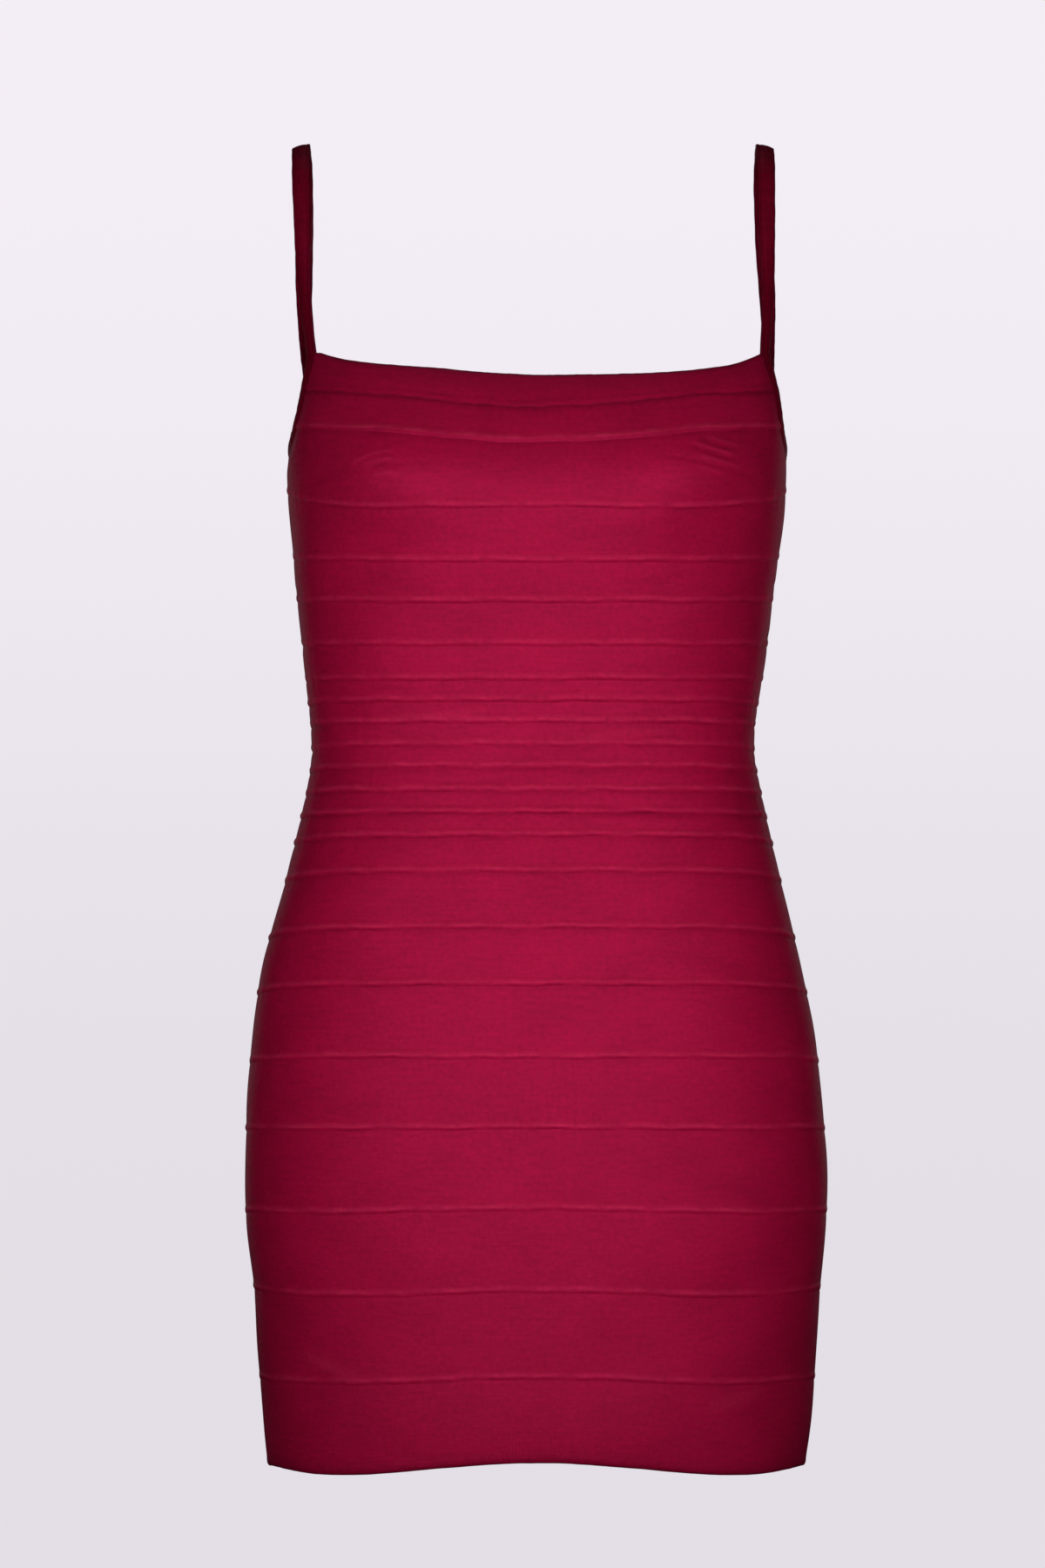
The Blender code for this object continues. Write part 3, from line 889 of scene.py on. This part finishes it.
def shoulder_frames(low_points, low_across):
    """The stretch that leaves the cloth and goes over the shoulder, from the front to the back."""
    path = np.array([[p.side, p.depth, -p.drop] for p in STRAP_PATH], float)
    path[:, 0] += sway(-path[:, 2])
    points = np.concatenate([low_points[-1:], path, low_points[:1]])
    lengths = lengths_along(points)
    total = lengths[-1]
    at = np.linspace(0.0, total, round(total / STRAP_STEP) + 1)[1:-1]
    line = through_table(at, lengths, points)
    along = unit(np.gradient(line, axis=0))
    turned = smooth(np.minimum(at, total - at) / TWIST_LENGTH)[:, None]
    near = np.where((at < total / 2)[:, None], low_across[-1], low_across[0])
    slope = math.radians(SHOULDER_SLOPE)
    level = np.array([math.cos(slope), 0.0, -math.sin(slope)])
    across = near * (1 - turned) + level * turned
    across = unit(across - along * np.sum(across * along, axis=1, keepdims=True))
    return line, across


def strap(name, sign, material):
    """The closed loop round one armhole and over the shoulder; sign is 1 for +X and -1 for -X."""
    line, across = strap_frames()
    along = unit(np.roll(line, -1, axis=0) - np.roll(line, 1, axis=0))
    outward = unit(np.cross(across, along))
    lengths = lengths_along(line)
    total = lengths[-1]
    round_loop = lengths / total * 360.0
    swell = 1 + waves(round_loop, STRAP_SWELL_WAVES, STRAP_SWELL_SEED + sign)
    widths = 1 + waves(round_loop, STRAP_WIDTH_WAVES, STRAP_WIDTH_SEED + sign)
    side, out = STRAP_SECTION.T
    sides = side * widths[:, None]
    outs = out * np.where(out > STRAP_UNDERSIDE, swell[:, None], 1.0)
    points = line[:, None] + across[:, None] * sides[..., None] + outward[:, None] * outs[..., None]
    if sign < 0:
        # mirrored, but with the same sway, and without the +X side's gape
        points = points * (-1, 1, 1)
        shift = sway(-line[:, 2])
        own_gape = gape(line[:, 0] - shift, -line[:, 2])
        points[..., 0] += (2 * shift + own_gape)[:, None]
    # Painted shadow along the row of sewing and painted shade on the turned edges.
    painted_rim_shade = np.interp(np.abs(side), *STRAP_PAINTED_SHADE.T)
    rim, loop, painted_shadings = np.broadcast_arrays(lengths_along(STRAP_SECTION), lengths[:, None], painted_rim_shade)
    piece = mesh_piece(name + "_binding", points, True, np.stack([rim, loop], axis=-1), painted_shadings)
    finish_piece(piece, name, material)


# ---- materials

# Noise in the cloth. scale: features per metre. stretch: how much closer together they lie in the map's
# three directions.
Noise = namedtuple("Noise", "scale stretch detail roughness")
NOISES = {
    "mottle": Noise(330.0, (1.0, 1.2, 1.0), 3.0, 0.6),
    "streaks": Noise(60.0, (1.0, 8.0, 1.0), 2.0, 0.5),
    "clouds": Noise(22.0, (1.0, 1.6, 1.0), 2.0, 0.5),
    "grain": Noise(1500.0, (1.0, 0.8, 1.0), 1.0, 0.5),
}
# What each layer adds to the depth of the dye, on top of a base, and to the height of the bump.
DYE_BASE = 0.35
DYE_SHARES = {"mottle": 0.5, "streaks": 0.4, "clouds": 0.4}
HEIGHT_SHARES = {"wales": 0.35, "courses": 0.25, "mottle": 0.9, "grain": 0.35, "streaks": 0.3}
BUMP = {"Strength": 0.55, "Distance": 0.00022}      # in metres, as the rib spacing below is
POLISH = 0.14               # how much smoother the brightest spots are than the deepest
PAINTED_HIGHLIGHT_PINK = (0.40, 0.030, 0.075, 1.0)      # painted highlight: lips and crease ridges are painted paler and pinker, standing in for their sheen

BAND_SPACING = math.pi / 10     # between the bands of Blender's wave texture, at a scale of 1
RIB_DETAIL = {"Detail": 1.0, "Detail Scale": 1.4}
WALE_WOBBLE = 0.9
COURSE_WOBBLE = 0.7
COURSE_SPACING = 0.8        # from course to course, for each unit from wale to wale

# deep and bright are the ends of the dye's range. tint is the plain reflection's; it is far above 1 because
# the low IOR holds that reflection down, which keeps the rims of the dress from turning pale.
Knit = namedtuple("Knit", "name deep bright tint rib_spacing roughness")
BANDAGE_KNIT = Knit(
    "crimson_bandage_knit",
    deep=(0.290, 0.0022, 0.0300, 1.0),
    bright=(0.350, 0.0034, 0.0390, 1.0),
    tint=(19.3, 1.18, 4.25, 1.0),
    rib_spacing=0.0008,
    roughness=0.50,
)
BINDING_KNIT = Knit(
    "deep_crimson_binding",
    deep=(0.115, 0.0004, 0.0085, 1.0),
    bright=(0.150, 0.0007, 0.0115, 1.0),
    tint=(12.9, 0.80, 2.83, 1.0),
    rib_spacing=0.0007,
    roughness=0.56,
)
KNIT_SURFACE = {
    "Metallic": 0.0,
    "IOR": 1.12,
    "Specular IOR Level": 0.5,
    "Sheen Weight": 0.03,
    "Sheen Roughness": 0.45,
    "Sheen Tint": (0.75, 0.10, 0.22, 1.0),
}


def node(tree, kind, numbers=None, **settings):
    """A shader node with its settings, and numbers on some of its inputs."""
    made = tree.nodes.new(kind)
    for key, value in settings.items():
        setattr(made, key, value)
    set_numbers(made, numbers or {})
    return made


def set_numbers(shader_node, numbers):
    for name, value in numbers.items():
        shader_node.inputs[name].default_value = value


def connect(tree, pairs):
    for source, target in pairs:
        tree.links.new(source, target)


def cloth_places(tree, scale):
    """The cloth's own map, in metres, stretched by a scale."""
    cloth_map = node(tree, "ShaderNodeUVMap", uv_map="cloth")
    stretch = node(tree, "ShaderNodeMapping", {"Scale": scale})
    tree.links.new(cloth_map.outputs["UV"], stretch.inputs["Vector"])
    return stretch.outputs["Vector"]


def noise(tree, layer):
    """One layer of noise in the cloth's own map."""
    numbers = {"Scale": layer.scale, "Detail": layer.detail, "Roughness": layer.roughness}
    made = node(tree, "ShaderNodeTexNoise", numbers, noise_dimensions="3D")
    tree.links.new(cloth_places(tree, layer.stretch), made.inputs["Vector"])
    return made.outputs["Fac"]


def ribs(tree, spacing, direction, wobble):
    """Fine ribs across the cloth, one for each spacing."""
    numbers = {"Scale": BAND_SPACING / spacing, "Distortion": wobble, **RIB_DETAIL}
    made = node(tree, "ShaderNodeTexWave", numbers, wave_type="BANDS", bands_direction=direction)
    tree.links.new(cloth_places(tree, (1, 1, 1)), made.inputs["Vector"])
    return made.outputs["Fac"]


def maths(tree, operation, *values):
    """One arithmetic node; each input may be a socket or a number."""
    made = node(tree, "ShaderNodeMath", operation=operation)
    for socket, value in zip(made.inputs, values):
        if isinstance(value, (int, float)):
            socket.default_value = value
        else:
            tree.links.new(value, socket)
    return made.outputs["Value"]


def mixed(tree, factor, low, high):
    """A colour between two others, each of them a socket or four numbers."""
    made = node(tree, "ShaderNodeMix", data_type="RGBA")
    for name, colour in (("A", low), ("B", high)):
        socket = [entry for entry in made.inputs if entry.name == name and entry.type == "RGBA"][0]
        if isinstance(colour, tuple):
            socket.default_value = colour
        else:
            tree.links.new(colour, socket)
    tree.links.new(factor, made.inputs["Factor"])
    return [entry for entry in made.outputs if entry.type == "RGBA"][0]


def times(tree, colour, factor):
    """A colour made darker or lighter by a factor socket."""
    made = node(tree, "ShaderNodeVectorMath", operation="SCALE")
    connect(tree, [(colour, made.inputs["Vector"]), (factor, made.inputs["Scale"])])
    return made.outputs["Vector"]


def weighted(tree, layers, shares, base):
    """A base number plus a share of each layer."""
    total = base
    for name, share in shares.items():
        total = maths(tree, "MULTIPLY_ADD", layers[name], share, total)
    return total


def knit(finish):
    """A fine stretch knit: mottled dye, streaks along the courses, ribs and grain in the bump, and its
    pieces'
    painted shading: painted highlight and shade.
    """
    material = bpy.data.materials.new(finish.name)
    material.use_nodes = True
    tree = material.node_tree
    shader = tree.nodes["Principled BSDF"]
    set_numbers(shader, {**KNIT_SURFACE, "Specular Tint": finish.tint})
    layers = {name: noise(tree, layer) for name, layer in NOISES.items()}
    layers["wales"] = ribs(tree, finish.rib_spacing, "X", WALE_WOBBLE)
    layers["courses"] = ribs(tree, finish.rib_spacing * COURSE_SPACING, "Y", COURSE_WOBBLE)
    # The pieces' painted shading: below 0 it darkens the dye as painted shade, above 0 it lightens it and
    # mixes it towards a pale pink as painted highlight.
    edges = node(tree, "ShaderNodeAttribute", attribute_type="GEOMETRY", attribute_name="shade")
    depth = weighted(tree, layers, DYE_SHARES, DYE_BASE)
    depth = maths(tree, "MULTIPLY", depth, maths(tree, "ADD", edges.outputs["Fac"], 1.0))
    colour = mixed(tree, layers["mottle"], finish.deep, finish.bright)
    colour = mixed(tree, edges.outputs["Fac"], colour, PAINTED_HIGHLIGHT_PINK)
    bump = node(tree, "ShaderNodeBump", BUMP)
    rough = maths(tree, "MULTIPLY_ADD", layers["mottle"], -POLISH, finish.roughness + POLISH / 2)
    connect(tree, [
        (times(tree, colour, depth), shader.inputs["Base Color"]),
        (rough, shader.inputs["Roughness"]),
        (weighted(tree, layers, HEIGHT_SHARES, 0.0), bump.inputs["Height"]),
        (bump.outputs["Normal"], shader.inputs["Normal"]),
    ])
    return material


# ---- the studio, in metres

FLOOR_DROP = 6.0            # deep enough for a camera that looks up at the hem
BOWL_RADIUS = 14.0
BOWL_HEIGHT = 20.6
BOWL_RINGS = 40
BOWL_SIDES = 96
BOWL_CLOSING = 0.999        # how nearly its first and last rings close
PALE_LOW = (0.775, 0.735, 0.790, 1.0)
PALE_HIGH = (0.900, 0.845, 0.915, 1.0)
PALE_SPAN = {"From Min": -1.73, "From Max": 1.63}       # the heights where the one turns into the other


def backdrop():
    """A pale floor that sweeps up into a wall and over the top, lit evenly by itself."""
    rings, sides = BOWL_RINGS, BOWL_SIDES
    points, faces = [], []
    for ring in range(rings + 1):
        angle = math.pi * (ring / rings - 0.5) * BOWL_CLOSING
        radius = BOWL_RADIUS * math.sqrt(math.cos(angle))
        height = -FLOOR_DROP + BOWL_HEIGHT * (math.sin(angle) + 1) / 2
        for side in range(sides):
            around = 2 * math.pi * side / sides
            points.append((radius * math.cos(around), radius * math.sin(around), height))
    for ring in range(rings):
        low, high = ring * sides, (ring + 1) * sides
        for side in range(sides):
            after = (side + 1) % sides
            faces.append((low + side, low + after, high + after, high + side))
    faces.append(tuple(range(sides))[::-1])
    faces.append(tuple(range(rings * sides, (rings + 1) * sides)))
    data = bpy.data.meshes.new("studio_floor")
    data.from_pydata(points, [], faces)
    data.shade_smooth()
    bowl = in_scene("studio_floor", data)
    bowl.data.materials.append(pale_material())
    bowl.visible_diffuse = False
    bowl.visible_glossy = False
    bowl.visible_shadow = False


def pale_material():
    """Pale paper, a little deeper near the floor."""
    material = bpy.data.materials.new("pale_paper")
    material.use_nodes = True
    tree = material.node_tree
    tree.nodes.remove(tree.nodes["Principled BSDF"])
    place = node(tree, "ShaderNodeTexCoord")
    split = node(tree, "ShaderNodeSeparateXYZ")
    spread = node(tree, "ShaderNodeMapRange", PALE_SPAN, interpolation_type="SMOOTHSTEP")
    light = node(tree, "ShaderNodeEmission")
    connect(tree, [
        (place.outputs["Object"], split.inputs["Vector"]),
        (split.outputs["Z"], spread.inputs["Value"]),
        (mixed(tree, spread.outputs["Result"], PALE_LOW, PALE_HIGH), light.inputs["Color"]),
        (light.outputs["Emission"], tree.nodes["Material Output"].inputs["Surface"]),
    ])
    return material


# A softbox faces the waist. turn and rise: where it stands, in degrees from the front and above the waist.
# away, width and height are in metres, power in watts, and spread is how far its grid lets light through.
SOFTBOXES = table("name turn rise away width height power spread", [
    ("front", 0, 0, 1.4, 0.4, 0.4, 0.96, 80),
    ("front_right", 35, 0, 1.5, 0.4, 0.6, 1.08, 80),
    ("front_left", -35, 0, 1.5, 0.4, 0.6, 1.08, 80),
    ("high_front", 0, 28, 1.3, 0.4, 0.4, 0.10, 80),
    ("low_front", 0, -25, 1.4, 0.4, 0.4, 0.62, 80),
    ("top", 180, 78, 1.4, 0.4, 0.4, 0.14, 60),
    ("back_right", 155, 0, 2.0, 0.5, 1.0, 0.30, 100),
    ("back_left", -155, 0, 2.0, 0.5, 1.0, 0.30, 100),
    ("back", 180, 4, 1.5, 0.5, 0.7, 1.60, 80),
    ("low_back", 180, -16, 1.5, 0.5, 0.5, 0.80, 80),
])
WAIST = Vector((0.0, 0.0, -0.33))
AMBIENT = (0.009, 0.0085, 0.009, 1.0)

LENS = 133.3                # in millimetres, as the sensor is
SENSOR = 36.0
CAMERA_AT = (-0.0074, -3.4, -0.372)
CLIP_END = 60.0


def softboxes():
    for box in SOFTBOXES:
        data = bpy.data.lights.new(box.name, "AREA")
        data.shape = "RECTANGLE"
        data.size = box.width
        data.size_y = box.height
        data.energy = box.power
        data.spread = math.radians(box.spread)
        lamp = in_scene(box.name, data)
        turn, rise = math.radians(box.turn), math.radians(box.rise)
        way = Vector((math.sin(turn) * math.cos(rise), -math.cos(turn) * math.cos(rise), math.sin(rise)))
        lamp.location = WAIST + way * box.away
        lamp.rotation_euler = way.to_track_quat("Z", "Y").to_euler()
        lamp.visible_camera = False


def ambient():
    """A faint even light from all around, for what the softboxes miss."""
    world = bpy.data.worlds.new("studio")
    world.use_nodes = True
    set_numbers(world.node_tree.nodes["Background"], {"Color": AMBIENT, "Strength": 1.0})
    bpy.context.scene.world = world


def camera():
    """Level with the middle of the photo, looking straight at the front."""
    data = bpy.data.cameras.new("camera")
    data.lens = LENS
    data.sensor_width = SENSOR
    data.sensor_fit = "AUTO"
    data.dof.use_dof = False
    data.clip_end = CLIP_END
    eye = in_scene("camera", data)
    eye.location = CAMERA_AT
    eye.rotation_euler = (math.radians(90), 0.0, 0.0)
    bpy.context.scene.camera = eye


def dress():
    """All 47 pieces."""
    knitted = knit(BANDAGE_KNIT)
    for name, first in FIRST_STRIP.items():
        for number in range(first, LAST_STRIP + 1):
            strip(number, name == "front", knitted)
    bound = knit(BINDING_KNIT)
    strap("armhole_strap_right", 1, bound)
    strap("armhole_strap_left", -1, bound)


bpy.context.scene.view_settings.view_transform = "Standard"
dress()
backdrop()
softboxes()
ambient()
camera()
